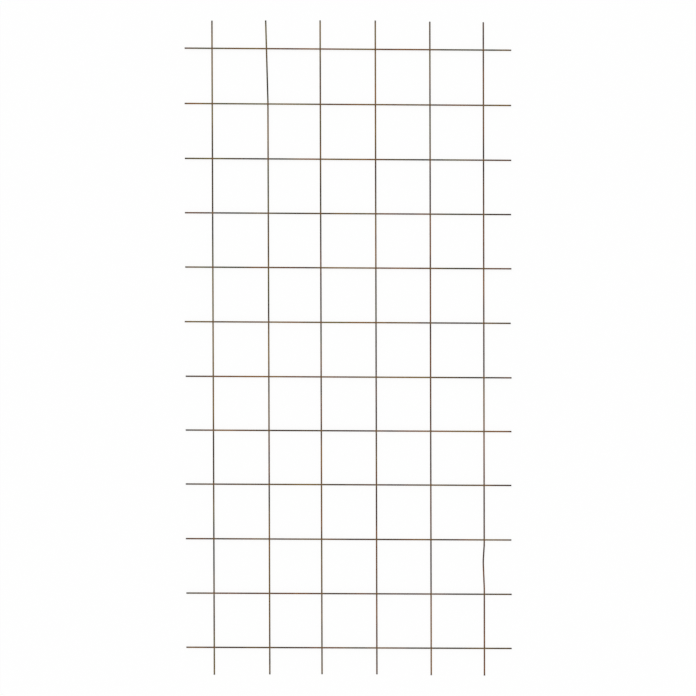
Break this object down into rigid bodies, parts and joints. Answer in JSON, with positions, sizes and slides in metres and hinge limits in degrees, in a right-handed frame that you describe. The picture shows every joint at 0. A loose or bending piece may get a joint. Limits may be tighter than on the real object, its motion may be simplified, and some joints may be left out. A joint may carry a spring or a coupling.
{
  "type": "wall trellis",
  "caption": "Flat sheet of welded steel wire mesh with square cells and wire ends left free all round, hung on a wall to carry climbing plants.",
  "frame": {"origin": "on the floor, under the middle of the sheet, which lies on its back", "axes": "+X to the right and +Y up the sheet, both as hung on a wall and seen from the front; +Z out of the front, away from the wall"},
  "size_m": [0.9036, 1.8104, 0.0072],
  "materials": {
    "rusty_steel": "bare drawn steel wire, its dark mill finish gone over to thin brown rust, more orange at the welds"
  },
  "bodies": {
    "root": {"welded_mesh": "rusty_steel"}
  },
  "joints": []
}
